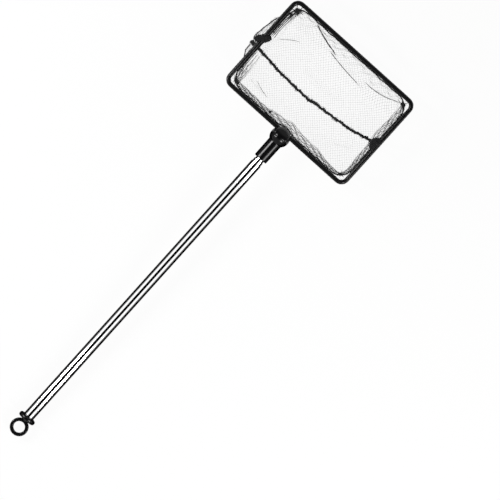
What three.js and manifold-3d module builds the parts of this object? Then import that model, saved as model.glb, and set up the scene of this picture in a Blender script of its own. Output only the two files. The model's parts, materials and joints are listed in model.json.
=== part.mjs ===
// Aquarium fish net with a telescopic handle, lying mouth up with its handle pushed in.
// Millimetres. +Y runs along the handle from the hanging ring to the frame, +X along the frame's long side,
// +Z up. The origin is the middle of the object's box, on the surface that the net lies on.
import * as THREE from 'three';
import { mergeVertices } from 'three/addons/utils/BufferGeometryUtils.js';
import Module from 'manifold-3d';

const wasm = await Module();
wasm.setup();

// Frame: a rectangle of coated wire, measured between the wire's centre lines
const frameWidth = 156;
const frameDepth = 107;
const frameCornerRadius = 7;
const wireDiameter = 3.2;
const coatingThickness = 0.6;
const layerClearance = 0.1;
const hemThickness = 0.25;

// Wire tails, turned side by side into the socket
const tailGap = 0.8;
const tailBendRadius = 4;
const tailLength = 12.3;

// Socket: a ball on the frame's handle side and a sleeve for the inner tube
const ballDiameter = 21.2;
const ballOffset = 5.75;
const sleeveReach = 35.25;
const sleeveDiameterAtBall = 14.9;
const sleeveDiameterAtMouth = 14.6;
const sleeveMouthRounding = 0.7;
const socketFloor = 1.3;
const coatingGapFromBend = 0.4;

// Handle: three tubes, each sliding in the next
const outerTubeDiameter = 11.5;
const outerTubeLength = 340.4;
const tubeWall = 0.3;
const slidingClearance = 0.25;
const innerTubeShowing = 2.25;
const middleTubeShowing = 3.7;

// Rolled mouth that holds a tube's shims back, and the neck that carries them at the hidden end
const lipReduction = 0.12;
const lipLength = 2.2;
const lipRounding = 0.3;
const neckReduction = 0.35;
const neckLength = 10.5;
const flareLength = 1.5;
const neckTaper = 0.4;
const shimBoreClearance = 0.08;
const shimNeckClearance = 0.1;
const shimEndClearance = 0.3;
const shimArcDegrees = 166;
const tailStopClearance = 0.5;

// End cap: plug, collar, flange, neck and hanging ring
const plugLength = 12;
const plugClearance = 0.1;
const plugChamfer = 0.5;
const collarDiameter = 12.8;
const collarLength = 1.4;
const collarChamfer = 0.25;
const flangeDiameter = 18.8;
const flangeThickness = 3;
const flangeRounding = 0.9;
const ringOuterDiameter = 18.9;
const ringHoleDiameter = 11.7;
const ringThickness = 4;
const ringRounding = 1;
const ringGapFromFlange = 0.8;
const ringNeckDiameter = 6;
const ringNeckFillet = 0.8;
const ringNeckTipDiameter = 3.2;

// Bag: two mesh panels joined by a U-shaped seam, slumped under the frame
const bagThickness = 0.8;
const wallLean = 4;
const farWallSlump = 12;
const floorRounding = 6;
const floorCornerRadius = 12;
const bulgeReach = 13;
const bulgeLength = 24;
const bulgePlace = 4;
const panelGap = 0.3;
const seamDiameter = 2.2;
const touchGap = 0.3;

// The seam seen from above: shares of the frame's half width, and distances from its long middle line
const seamStations = [
  [-1, -6.3],
  [-0.88, -9.2],
  [-0.5, -12.2],
  [-0.05, -13],
  [0.4, -9.4],
  [0.85, -2.8],
  [1, -1],
];

// Openings of the netting: the pitch and width of its ribs, and its plain borders beside the seam and the hem
const ribPitch = 12.5;
const ribWidth = 1.6;
const seamBorder = 2;
const hemBorder = 1.5;

// Threads of the hem and the lumps at the seam's ends, whose places are measured from the frame's middle
const stitchDiameter = 1;
const stitchCornerCut = 14;
const wrapLength = 11;
const leftWrapPlace = 2.5;
const rightWrapPlace = -0.8;
const wrapThickness = 1.3;
const wrapInnerEdgeDegrees = 12;
const wrapOuterEdgeDegrees = 240;

// Rest: the net leans on the flange's rim and on the bag's floor
const restTiltDegrees = 3;

// Faceting
const wireSides = 12;
const tubeSides = 28;
const threadSides = 6;
const bendSteps = 5;
const roundSteps = 3;
const wallSteps = 8;
const bulgedWallSteps = 12;

const coatingRadius = wireDiameter / 2 + layerClearance + coatingThickness;
const hemInnerRadius = coatingRadius + layerClearance;
const hemOuterRadius = hemInnerRadius + hemThickness;
const ballRadius = ballDiameter / 2;
const ballChord = Math.sqrt(ballRadius ** 2 - ballOffset ** 2);
const tailSpacing = wireDiameter + tailGap;
const wireBendEnd = tailSpacing / 2 + tailBendRadius;
const coatingEnd = wireBendEnd + coatingGapFromBend;
const socketBoreFloor = tailLength + socketFloor;
const middleTubeDiameter = outerTubeDiameter - 2 * tubeWall - 2 * slidingClearance;
const innerTubeDiameter = middleTubeDiameter - 2 * tubeWall - 2 * slidingClearance;

// Distances along the handle, from the frame's handle-side wire towards the ring
const middleTubeMouth = sleeveReach + innerTubeShowing;
const outerTubeMouth = middleTubeMouth + middleTubeShowing;
const outerTubeEnd = outerTubeMouth + outerTubeLength;
const flangeStart = outerTubeEnd + touchGap + collarLength;
const flangeEnd = flangeStart + flangeThickness;
const ringCentre = flangeEnd + ringGapFromFlange + ringOuterDiameter / 2;
const middleTubeEnd = flangeStart - plugLength - tailStopClearance;
const middleNeckStart = middleTubeEnd - flareLength - neckLength;
const innerTubeEnd = middleNeckStart - tailStopClearance;
const innerNeckStart = innerTubeEnd - flareLength - neckLength;

// Where the seam's ends go over the frame's short sides
const seamAtLeft = seamStations[0][1];
const seamAtRight = seamStations[seamStations.length - 1][1];

// Lying angle, and the height of the frame's handle-side wire above the surface
const tilt = THREE.MathUtils.degToRad(restTiltDegrees);
const flangeContact = flangeEnd - flangeRounding;
const wireHeight = (flangeDiameter / 2) * Math.cos(tilt) + flangeContact * Math.sin(tilt);

const blackCoating = new THREE.MeshStandardMaterial({ color: 0x0c0c0d, roughness: 0.3, metalness: 0 });
const blackPlastic = new THREE.MeshStandardMaterial({ color: 0x101011, roughness: 0.25, metalness: 0 });
const polishedSteel = new THREE.MeshStandardMaterial({ color: 0xc8c9cc, roughness: 0.12, metalness: 1 });
const wireSteel = new THREE.MeshStandardMaterial({ color: 0x8d8f92, roughness: 0.4, metalness: 1 });
const shimBrass = new THREE.MeshStandardMaterial({ color: 0xb08a45, roughness: 0.35, metalness: 1 });
const blackMesh = new THREE.MeshStandardMaterial({ color: 0x6d6e70, roughness: 0.9, metalness: 0 });
const blackThread = new THREE.MeshStandardMaterial({ color: 0x141415, roughness: 0.85, metalness: 0 });

// A flat route drawn like a pen's: straight runs and round bends, with a station only where it changes
class PenRoute extends THREE.Curve {
  constructor(x, y, headingDegrees) {
    super();
    this.place = new THREE.Vector2(x, y);
    this.heading = THREE.MathUtils.degToRad(headingDegrees);
    this.stations = [];
    this.mark();
  }

  get direction() {
    return new THREE.Vector2(Math.cos(this.heading), Math.sin(this.heading));
  }

  mark() {
    const { x, y } = this.direction;
    this.stations.push({
      point: new THREE.Vector3(this.place.x, this.place.y, 0),
      tangent: new THREE.Vector3(x, y, 0),
    });
  }

  run(length) {
    this.place.addScaledVector(this.direction, length);
    this.mark();
    return this;
  }

  bend(radius, turnDegrees) {
    const side = Math.sign(turnDegrees);
    const step = THREE.MathUtils.degToRad(turnDegrees) / bendSteps;
    const toCentre = new THREE.Vector2(-this.direction.y, this.direction.x).multiplyScalar(side * radius);
    const centre = this.place.clone().add(toCentre);
    for (let i = 0; i < bendSteps; i += 1) {
      this.place.rotateAround(centre, step);
      this.heading += step;
      this.mark();
    }
    return this;
  }

  get steps() {
    return this.stations.length - 1;
  }

  between(t, key, target) {
    const at = Math.min(t * this.steps, this.steps);
    const before = Math.min(Math.floor(at + 1e-6), this.steps);
    const after = Math.min(before + 1, this.steps);
    const part = Math.max(at - before, 0);
    return target.lerpVectors(this.stations[before][key], this.stations[after][key], part);
  }

  getPoint(t, target = new THREE.Vector3()) {
    return this.between(t, 'point', target);
  }

  getTangent(t, target = new THREE.Vector3()) {
    return this.between(t, 'tangent', target).normalize();
  }

  getUtoTmapping(u) {
    return u;
  }
}

// The frame's rectangle, from startX round to endX on the handle side
function frameRoute(route, startX, endX) {
  const straightWidth = frameWidth - 2 * frameCornerRadius;
  const straightDepth = frameDepth - 2 * frameCornerRadius;
  return route
    .run(startX + straightWidth / 2)
    .bend(frameCornerRadius, -90)
    .run(straightDepth)
    .bend(frameCornerRadius, -90)
    .run(straightWidth)
    .bend(frameCornerRadius, -90)
    .run(straightDepth)
    .bend(frameCornerRadius, -90)
    .run(straightWidth / 2 - endX);
}

function wireRoute() {
  const route = new PenRoute(-tailSpacing / 2, -tailLength, 90);
  route.run(tailLength - tailBendRadius).bend(tailBendRadius, 90);
  return frameRoute(route, -wireBendEnd, wireBendEnd)
    .bend(tailBendRadius, 90)
    .run(tailLength - tailBendRadius);
}

function railRoute(halfGap) {
  return frameRoute(new PenRoute(-halfGap, 0, 180), -halfGap, halfGap);
}

function polygon(radius, sides) {
  const points = [];
  for (let i = 0; i < sides; i += 1) {
    const angle = (2 * Math.PI * i) / sides;
    points.push(new THREE.Vector2(radius * Math.cos(angle), radius * Math.sin(angle)));
  }
  return points;
}

// A round bar along a route, hollow where a bore radius is given
function barAlong(route, radius, { steps = route.steps, sides = wireSides, boreRadius = 0 } = {}) {
  const section = new THREE.Shape(polygon(radius, sides));
  if (boreRadius > 0) section.holes.push(new THREE.Path(polygon(boreRadius, sides)));
  return new THREE.ExtrudeGeometry(section, { steps, extrudePath: route });
}

// A body turned about the handle's axis. Points are [radius, distance from the frame's wire towards the ring]
function turned(points, sides = tubeSides) {
  const profile = points.map(([radius, distance]) => new THREE.Vector2(radius, -distance));
  return new THREE.LatheGeometry(profile.reverse(), sides);
}

// A rounded corner of a profile, as [radius, distance] points from one angle to another in degrees
function quarterRound(cornerRadius, cornerDistance, rounding, fromDegrees, toDegrees) {
  const middleAngle = THREE.MathUtils.degToRad((fromDegrees + toDegrees) / 2);
  const centreRadius = cornerRadius - Math.sign(Math.cos(middleAngle)) * rounding;
  const centreDistance = cornerDistance - Math.sign(Math.sin(middleAngle)) * rounding;
  const points = [];
  for (let i = 0; i <= roundSteps; i += 1) {
    const angle = THREE.MathUtils.degToRad(fromDegrees + ((toDegrees - fromDegrees) * i) / roundSteps);
    points.push([centreRadius + rounding * Math.cos(angle), centreDistance + rounding * Math.sin(angle)]);
  }
  return points;
}

// A geometry as a solid that can be joined and cut, and back
function solidOf(geometry) {
  const bare = new THREE.BufferGeometry();
  bare.setAttribute('position', geometry.getAttribute('position'));
  if (geometry.index) bare.setIndex(geometry.index);
  const merged = mergeVertices(bare, 1e-4);
  return new wasm.Manifold(
    new wasm.Mesh({
      numProp: 3,
      vertProperties: merged.attributes.position.array,
      triVerts: new Uint32Array(merged.index.array),
    }),
  );
}

function geometryOf(solid) {
  const mesh = solid.getMesh();
  const geometry = new THREE.BufferGeometry();
  geometry.setAttribute('position', new THREE.BufferAttribute(mesh.vertProperties, mesh.numProp));
  geometry.setIndex(new THREE.BufferAttribute(mesh.triVerts, 1));
  geometry.computeVertexNormals();
  return geometry;
}

function node(name, geometry, material) {
  const mesh = new THREE.Mesh(geometry, material);
  mesh.name = name;
  return mesh;
}

// Wire and its coating
function frameWire() {
  return node('frame_wire', barAlong(wireRoute(), wireDiameter / 2), wireSteel);
}

function frameCoating() {
  const boreRadius = wireDiameter / 2 + layerClearance;
  const skin = barAlong(railRoute(coatingEnd), coatingRadius, { boreRadius });
  return node('frame_coating', skin, blackCoating);
}

// Ball and sleeve in one moulding, with room for the wire, its coating and the inner tube
function headSocket() {
  const boreRadius = innerTubeDiameter / 2 + layerClearance;
  const sleeveAtBall = sleeveDiameterAtBall / 2;
  const mouthRadius = sleeveDiameterAtMouth / 2;
  const join = Math.asin(sleeveAtBall / ballRadius);
  const ballSteps = 12;
  const points = [];
  for (let i = 0; i <= ballSteps; i += 1) {
    const angle = ((Math.PI - join) * i) / ballSteps;
    points.push([ballRadius * Math.sin(angle), ballOffset - ballRadius * Math.cos(angle)]);
  }
  points.push(
    ...quarterRound(mouthRadius, sleeveReach, sleeveMouthRounding, 0, 90),
    [boreRadius, sleeveReach],
    [boreRadius, socketBoreFloor],
    [0, socketBoreFloor],
  );
  const moulding = solidOf(turned(points));
  const wireRoom = solidOf(barAlong(wireRoute(), wireDiameter / 2 + layerClearance));
  const coatingRoom = solidOf(barAlong(railRoute(coatingEnd - touchGap), coatingRadius + layerClearance));
  return node('head_socket', geometryOf(moulding.subtract(wireRoom).subtract(coatingRoom)), blackPlastic);
}

// A thin tube from its mouth to its hidden end, with a rolled mouth and a neck where asked
function slidingTube(name, diameter, mouth, end, { lip = false, neckStart = null } = {}) {
  const outer = diameter / 2;
  const bore = outer - tubeWall;
  const outside = [];
  const inside = [];
  if (lip) {
    outside.push([outer - lipRounding, mouth], [outer, mouth + lipRounding]);
    inside.push(
      [bore - lipReduction, mouth],
      [bore - lipReduction, mouth + lipLength],
      [bore, mouth + lipLength + neckTaper],
    );
  } else {
    outside.push([outer, mouth]);
    inside.push([bore, mouth]);
  }
  if (neckStart !== null) {
    const neckEnd = neckStart + neckLength;
    const neck = [
      [0, neckStart - neckTaper],
      [neckReduction, neckStart],
      [neckReduction, neckEnd],
      [0, neckEnd + neckTaper],
    ];
    neck.forEach(([drop, distance]) => {
      outside.push([outer - drop, distance]);
      inside.push([bore - drop, distance]);
    });
  }
  outside.push([outer, end]);
  inside.push([bore, end]);
  const profile = [...outside, ...inside.reverse()];
  return node(name, turned([...profile, profile[0]]), polishedSteel);
}

// One half-round friction shim in a tube's neck, side is +1 or -1 along X
function shim(name, tubeDiameter, neckStart, side) {
  const inner = tubeDiameter / 2 - neckReduction + shimNeckClearance;
  const outer = tubeDiameter / 2 + slidingClearance - shimBoreClearance;
  const steps = 14;
  const halfArc = THREE.MathUtils.degToRad(shimArcDegrees / 2);
  const arc = (radius, from, to) => {
    const points = [];
    for (let i = 0; i <= steps; i += 1) {
      const angle = from + ((to - from) * i) / steps;
      points.push(new THREE.Vector2(side * radius * Math.cos(angle), radius * Math.sin(angle)));
    }
    return points;
  };
  const section = new THREE.Shape([...arc(outer, -halfArc, halfArc), ...arc(inner, halfArc, -halfArc)]);
  const length = neckLength - 2 * shimEndClearance;
  const strip = new THREE.ExtrudeGeometry(section, { depth: length, bevelEnabled: false });
  strip.rotateX(Math.PI / 2);
  strip.translate(0, -(neckStart + shimEndClearance), 0);
  return node(name, strip, shimBrass);
}

function hangingRing() {
  const outer = ringOuterDiameter / 2;
  const inner = ringHoleDiameter / 2;
  const half = ringThickness / 2;
  const section = [
    ...quarterRound(outer, -half, ringRounding, -90, 0),
    ...quarterRound(outer, half, ringRounding, 0, 90),
    ...quarterRound(inner, half, ringRounding, 90, 180),
    ...quarterRound(inner, -half, ringRounding, 180, 270),
  ].map(([radius, height]) => new THREE.Vector2(radius, height));
  const ring = new THREE.LatheGeometry([...section, section[0]], tubeSides);
  ring.rotateX(Math.PI / 2);
  ring.translate(0, -ringCentre, 0);
  return ring;
}

function endCap() {
  const plugRadius = outerTubeDiameter / 2 - tubeWall - plugClearance;
  const plugStart = flangeStart - plugLength;
  const collarRadius = collarDiameter / 2;
  const collarStart = flangeStart - collarLength;
  const flangeRadius = flangeDiameter / 2;
  const ringNeckRadius = ringNeckDiameter / 2;
  const neckEnd = ringCentre - ringHoleDiameter / 2 - ringRounding;
  const stem = solidOf(
    turned([
      [0, plugStart],
      [plugRadius - plugChamfer, plugStart],
      [plugRadius, plugStart + plugChamfer],
      [plugRadius, collarStart],
      [collarRadius - collarChamfer, collarStart],
      [collarRadius, collarStart + collarChamfer],
      [collarRadius, flangeStart],
      ...quarterRound(flangeRadius, flangeStart, flangeRounding, -90, 0),
      ...quarterRound(flangeRadius, flangeEnd, flangeRounding, 0, 90),
      [ringNeckRadius + ringNeckFillet, flangeEnd],
      [ringNeckRadius, flangeEnd + ringNeckFillet],
      [ringNeckTipDiameter / 2, neckEnd],
      [0, neckEnd],
    ]),
  );
  return node('end_cap', geometryOf(stem.add(solidOf(hangingRing()))), blackPlastic);
}

// The bag. Its shapes are laid out round the middle of the frame, in the world's level directions
const frameMiddle = new THREE.Vector3(0, frameDepth / 2, 0);
const onFrame = new THREE.Matrix4().makeRotationX(tilt).setPosition(0, 0, wireHeight);
const frameMiddleY = frameMiddle.clone().applyMatrix4(onFrame).y;

// The hem's middle layer meets the wall at the middle of one facet of its polygon
const rimAngle = Math.PI / wireSides;
const rimRadius = ((hemInnerRadius + hemOuterRadius) / 2) * Math.cos(rimAngle);
const rimInset = rimRadius * Math.cos(rimAngle);
const rimDrop = rimRadius * Math.sin(rimAngle);

// A rounded rectangle inside the frame, counter-clockwise from above, with as many points at any inset.
// The far side lies further in by the slump.
function loopInside(inset, cornerRadius, slump) {
  const halfWidth = frameWidth / 2 - inset;
  const halfDepth = frameDepth / 2 - inset;
  const corners = [
    [halfWidth, halfDepth - slump, 0],
    [-halfWidth, halfDepth - slump, 90],
    [-halfWidth, -halfDepth, 180],
    [halfWidth, -halfDepth, 270],
  ];
  const points = [];
  corners.forEach(([cornerX, cornerY, startDegrees], index) => {
    const centre = new THREE.Vector2(
      cornerX - Math.sign(cornerX) * cornerRadius,
      cornerY - Math.sign(cornerY) * cornerRadius,
    );
    for (let i = 0; i <= bendSteps; i += 1) {
      const angle = THREE.MathUtils.degToRad(startDegrees + (90 * i) / bendSteps);
      const outwards = new THREE.Vector2(Math.cos(angle), Math.sin(angle));
      points.push(centre.clone().addScaledVector(outwards, cornerRadius));
    }
    const last = points[points.length - 1];
    const [nextX, nextY, nextDegrees] = corners[(index + 1) % corners.length];
    const nextAngle = THREE.MathUtils.degToRad(nextDegrees);
    const next = new THREE.Vector2(
      nextX - Math.sign(nextX) * cornerRadius + cornerRadius * Math.cos(nextAngle),
      nextY - Math.sign(nextY) * cornerRadius + cornerRadius * Math.sin(nextAngle),
    );
    const isBulgedWall = cornerX < 0 && nextX < 0;
    for (let i = 1; isBulgedWall && i < bulgedWallSteps; i += 1) {
      points.push(last.clone().lerp(next, i / bulgedWallSteps));
    }
  });
  return points;
}

// How far the left wall bulges out at a place along it, for a share of the wall's height
function bulgeAt(x, y, share) {
  const onLeftWall = x < -(frameWidth / 2 - frameCornerRadius - floorCornerRadius);
  if (!onLeftWall) return 0;
  const along = Math.exp(-(((y - bulgePlace) / bulgeLength) ** 2));
  return bulgeReach * along * Math.sin(Math.PI * share) ** 2;
}

// The wall's levels from the rim to the floor, as a share of its height, an inset, the far wall's slump and
// a rise above the floor
function bagLevels(lift) {
  const levels = [];
  for (let i = 0; i <= wallSteps; i += 1) {
    const share = 1 - i / wallSteps;
    const inset = rimInset + wallLean * (1 - share) + lift;
    const slump = farWallSlump * (1 - Math.sqrt(1 - (1 - share) ** 2));
    levels.push({ share, inset, slump, rise: floorRounding });
  }
  const radius = floorRounding - lift;
  for (let i = 1; i <= roundSteps; i += 1) {
    const angle = (Math.PI / 2) * (i / roundSteps);
    levels.push({
      share: 0,
      inset: rimInset + wallLean + floorRounding - radius * Math.cos(angle),
      slump: farWallSlump,
      rise: floorRounding - radius * Math.sin(angle),
    });
  }
  return levels;
}

// A place on the bag's wall, lift millimetres inside its outer face, for a plan point of that level's loop
function bagPlace(x, y, { share, rise }) {
  const rim = new THREE.Vector3(0, y + frameDepth / 2, -rimDrop).applyMatrix4(onFrame);
  const height = THREE.MathUtils.lerp(rise, rim.z, share);
  return new THREE.Vector3(x - bulgeAt(x, y, share), frameMiddleY + y * Math.cos(tilt), height);
}

function bagLoops(lift) {
  return bagLevels(lift).map((level) => {
    const openness = THREE.MathUtils.clamp(level.share, 0, 1);
    const cornerRadius = THREE.MathUtils.lerp(floorCornerRadius, frameCornerRadius - rimInset, openness);
    const loop = loopInside(level.inset, cornerRadius - lift, level.slump);
    return loop.map(({ x, y }) => bagPlace(x, y, level));
  });
}

// The whole bag as one open tub: outer loops down to the floor, inner loops back up
function bagTub() {
  const outer = bagLoops(0);
  const inner = bagLoops(bagThickness);
  const positions = [];
  const faces = [];
  const addLoop = (loop) => {
    const first = positions.length / 3;
    loop.forEach(({ x, y, z }) => positions.push(x, y, z));
    return first;
  };
  const count = outer[0].length;
  const outerStarts = outer.map(addLoop);
  const innerStarts = inner.map(addLoop);
  const bridge = (upper, lower) => {
    for (let i = 0; i < count; i += 1) {
      const j = (i + 1) % count;
      faces.push(upper + i, lower + i, lower + j, upper + i, lower + j, upper + j);
    }
  };
  const cap = (start, height, facesUp) => {
    const centre = positions.length / 3;
    positions.push(0, frameMiddleY, height);
    for (let i = 0; i < count; i += 1) {
      const j = (i + 1) % count;
      if (facesUp) faces.push(centre, start + i, start + j);
      else faces.push(centre, start + j, start + i);
    }
  };
  for (let k = 1; k < outerStarts.length; k += 1) bridge(outerStarts[k - 1], outerStarts[k]);
  for (let k = 1; k < innerStarts.length; k += 1) bridge(innerStarts[k], innerStarts[k - 1]);
  bridge(innerStarts[0], outerStarts[0]);
  cap(outerStarts[outerStarts.length - 1], 0, false);
  cap(innerStarts[innerStarts.length - 1], bagThickness, true);
  const geometry = new THREE.BufferGeometry();
  geometry.setAttribute('position', new THREE.Float32BufferAttribute(positions, 3));
  geometry.setIndex(faces);
  return geometry;
}

// The seam's line round the frame's middle, from the left short side to the right
function seamLine() {
  const points = seamStations.map(([share, y]) => new THREE.Vector3((share * frameWidth) / 2, y, 0));
  return new THREE.CatmullRomCurve3(points, false, 'centripetal');
}

// Everything on one side of the seam, as an upright block, with half the gap kept from the seam's line
function sideOfSeam(side, gap) {
  const steps = 18;
  const reach = frameWidth;
  const edge = seamLine()
    .getPoints(steps)
    .map(({ x, y }) => new THREE.Vector2(x, frameMiddleY + y + (side * gap) / 2));
  const outline = [
    new THREE.Vector2(-reach, edge[0].y),
    ...edge,
    new THREE.Vector2(reach, edge[edge.length - 1].y),
    new THREE.Vector2(reach, frameMiddleY + side * reach),
    new THREE.Vector2(-reach, frameMiddleY + side * reach),
  ];
  const depth = 2 * wireHeight + frameDepth;
  const upright = new THREE.ExtrudeGeometry(new THREE.Shape(outline), { depth, bevelEnabled: false });
  upright.translate(0, 0, -wireHeight);
  return solidOf(upright);
}

// A block between two corners
function block(low, high) {
  const size = new THREE.Vector3(...high).sub(new THREE.Vector3(...low));
  const geometry = new THREE.BoxGeometry(size.x, size.y, size.z);
  geometry.translate(...new THREE.Vector3(...low).addScaledVector(size, 0.5).toArray());
  return solidOf(geometry);
}

// Evenly spaced gaps between ribs over a length, as their starts and ends from the middle
function ribGaps(length) {
  const count = Math.floor((length + ribWidth) / ribPitch);
  const gaps = [];
  for (let i = 0; i < count; i += 1) {
    const middle = (i - (count - 1) / 2) * ribPitch;
    gaps.push([middle - (ribPitch - ribWidth) / 2, middle + (ribPitch - ribWidth) / 2]);
  }
  return gaps;
}

// Two rows of openings in a wall, as their lowest and highest points below the hem at a distance from the
// frame's middle
function openingRows(y) {
  const top = wireHeight + (y + frameDepth / 2) * Math.sin(tilt) - hemOuterRadius - hemBorder;
  const foot = floorRounding / 2 + ribWidth;
  const middle = (foot + top) / 2;
  return [
    [foot, middle - ribWidth / 2],
    [middle + ribWidth / 2, top],
  ];
}

// The netting's openings: a grid through the floor, and two rows through each wall, none beside the ball
function nettingOpenings() {
  const floorInset = rimInset + wallLean + floorRounding;
  const halfWidth = frameWidth / 2 - floorInset;
  const halfDepth = frameDepth / 2 - floorInset - farWallSlump / 2;
  const middleY = frameMiddleY - farWallSlump / 2;
  const cornerX = halfWidth - floorCornerRadius;
  const cornerY = halfDepth - floorCornerRadius;
  const outside = frameWidth;
  const blocks = [];
  ribGaps(2 * (halfWidth - ribWidth)).forEach(([x0, x1]) => {
    ribGaps(2 * (halfDepth - ribWidth)).forEach(([y0, y1]) => {
      const pastX = Math.max(Math.abs(x0), Math.abs(x1)) - cornerX;
      const pastY = Math.max(Math.abs(y0), Math.abs(y1)) - cornerY;
      const inCorner = pastX > 0 && pastY > 0 && Math.hypot(pastX, pastY) > floorCornerRadius - ribWidth;
      if (inCorner) return;
      blocks.push(block([x0, middleY + y0, -bagThickness], [x1, middleY + y1, floorRounding / 2]));
    });
  });
  ribGaps(2 * cornerY + floorCornerRadius).forEach(([y0, y1]) => {
    openingRows(y0 - farWallSlump / 2).forEach(([z0, z1]) => {
      blocks.push(block([-outside, middleY + y0, z0], [outside, middleY + y1, z1]));
    });
  });
  ribGaps(2 * cornerX + floorCornerRadius).forEach(([x0, x1]) => {
    const besideBall = x0 < ballRadius && x1 > -ballRadius;
    openingRows(-frameDepth / 2).forEach(([z0, z1], row) => {
      const nearSide = besideBall && row === 1 ? middleY : -outside;
      blocks.push(block([x0, nearSide, z0], [x1, 2 * outside, z1]));
    });
  });
  return wasm.Manifold.union(blocks);
}

// Each panel keeps its side of the tub and of the hem round the frame, clear of the ball
function bagPanels() {
  const hem = barAlong(railRoute(ballChord + touchGap), hemOuterRadius, { boreRadius: hemInnerRadius });
  hem.applyMatrix4(onFrame);
  const ballRoom = new THREE.SphereGeometry(ballRadius + 2 * touchGap, tubeSides, tubeSides / 2);
  ballRoom.translate(0, -ballOffset, 0);
  ballRoom.applyMatrix4(onFrame);
  const bag = solidOf(bagTub()).add(solidOf(hem)).subtract(solidOf(ballRoom));
  const openings = nettingOpenings();
  const panel = (side) => {
    const whole = bag.intersect(sideOfSeam(side, panelGap));
    return geometryOf(whole.subtract(openings.intersect(sideOfSeam(side, panelGap + 2 * seamBorder))));
  };
  return [
    node('bag_panel_far_side', panel(1), blackMesh),
    node('bag_panel_handle_side', panel(-1), blackMesh),
  ];
}

// The wall's outer face at one place along a short side, moved inwards square to itself
function wallMovedIn(side, y, lift) {
  const face = bagLevels(0).map((level) => bagPlace(side * (frameWidth / 2 - level.inset), y, level));
  return face.map((place, i) => {
    const before = face[Math.max(i - 1, 0)];
    const after = face[Math.min(i + 1, face.length - 1)];
    const along = after.clone().sub(before).normalize();
    return new THREE.Vector3(place.x + side * along.z * lift, place.y, place.z - side * along.x * lift);
  });
}

// The overlocked seam, lying just inside the bag: down one wall, along the floor and up the other
function bagSeam() {
  const lift = bagThickness + touchGap + seamDiameter / 2;
  const levelsBelowHem = 4;
  const left = wallMovedIn(-1, seamAtLeft, lift).slice(levelsBelowHem);
  const right = wallMovedIn(1, seamAtRight, lift).slice(levelsBelowHem).reverse();
  const from = left[left.length - 1].x;
  const to = right[0].x;
  const floorSteps = 8;
  const along = seamLine().getPoints(frameWidth);
  const floor = [];
  for (let i = 1; i < floorSteps; i += 1) {
    const x = THREE.MathUtils.lerp(from, to, i / floorSteps);
    const nearest = along.reduce((best, p) => (Math.abs(p.x - x) < Math.abs(best.x - x) ? p : best));
    floor.push(new THREE.Vector3(x, frameMiddleY + nearest.y, lift));
  }
  const route = new THREE.CatmullRomCurve3([...left, ...floor, ...right], false, 'centripetal');
  return node('bag_seam', barAlong(route, seamDiameter / 2, { steps: 60, sides: threadSides }), blackThread);
}

// One line of hem thread, from the left wrap to the right one, cutting the frame's corners
function hemStitching(name, side) {
  const inset = hemOuterRadius + touchGap + stitchDiameter / 2 + bagThickness;
  const x = frameWidth / 2 - inset;
  const y = frameDepth / 2 - inset;
  const clear = wrapLength / 2 + touchGap;
  const start = new THREE.Vector3(-x, leftWrapPlace + side * clear, 0);
  const end = new THREE.Vector3(x, rightWrapPlace + side * clear, 0);
  const path = new THREE.CurvePath();
  const corner = (cx) => new THREE.Vector3(cx, side * y, 0);
  const beforeFirst = new THREE.Vector3(-x, side * (y - stitchCornerCut), 0);
  const afterFirst = new THREE.Vector3(-x + stitchCornerCut, side * y, 0);
  const beforeLast = new THREE.Vector3(x - stitchCornerCut, side * y, 0);
  const afterLast = new THREE.Vector3(x, side * (y - stitchCornerCut), 0);
  path.add(new THREE.LineCurve3(start, beforeFirst));
  path.add(new THREE.QuadraticBezierCurve3(beforeFirst, corner(-x), afterFirst));
  if (side < 0) {
    const bow = ballRadius + touchGap + stitchDiameter - ballOffset - inset;
    const half = ballRadius;
    const bowStart = new THREE.Vector3(-half, -y, 0);
    const bowEnd = new THREE.Vector3(half, -y, 0);
    path.add(new THREE.LineCurve3(afterFirst, bowStart));
    path.add(new THREE.QuadraticBezierCurve3(bowStart, new THREE.Vector3(0, -y + 2 * bow, 0), bowEnd));
    path.add(new THREE.LineCurve3(bowEnd, beforeLast));
  } else {
    path.add(new THREE.LineCurve3(afterFirst, beforeLast));
  }
  path.add(new THREE.QuadraticBezierCurve3(beforeLast, corner(x), afterLast));
  path.add(new THREE.LineCurve3(afterLast, end));
  const thread = barAlong(path, stitchDiameter / 2, { steps: 56, sides: threadSides });
  thread.translate(0, frameDepth / 2, 0);
  return node(name, thread, blackThread);
}

// The lump of thread by the seam's end, over the hem on a short side and open where the bag's wall leaves
function seamWrap(name, side, wrapPlace) {
  const inner = hemOuterRadius + touchGap;
  const outer = inner + wrapThickness;
  const steps = 14;
  const arc = (radius, fromDegrees, toDegrees) => {
    const points = [];
    for (let i = 0; i <= steps; i += 1) {
      const angle = THREE.MathUtils.degToRad(fromDegrees + ((toDegrees - fromDegrees) * i) / steps);
      points.push(new THREE.Vector2(-side * radius * Math.cos(angle), radius * Math.sin(angle)));
    }
    return points;
  };
  const section = new THREE.Shape([
    ...arc(outer, wrapInnerEdgeDegrees, wrapOuterEdgeDegrees),
    ...arc(inner, wrapOuterEdgeDegrees, wrapInnerEdgeDegrees),
  ]);
  const saddle = new THREE.ExtrudeGeometry(section, { depth: wrapLength, bevelEnabled: false });
  saddle.rotateX(Math.PI / 2);
  saddle.translate(side * (frameWidth / 2), frameDepth / 2 + wrapPlace + wrapLength / 2, 0);
  return node(name, saddle, blackThread);
}

const net = new THREE.Group();

const tilted = new THREE.Group();
tilted.applyMatrix4(onFrame);
net.add(tilted);

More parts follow.
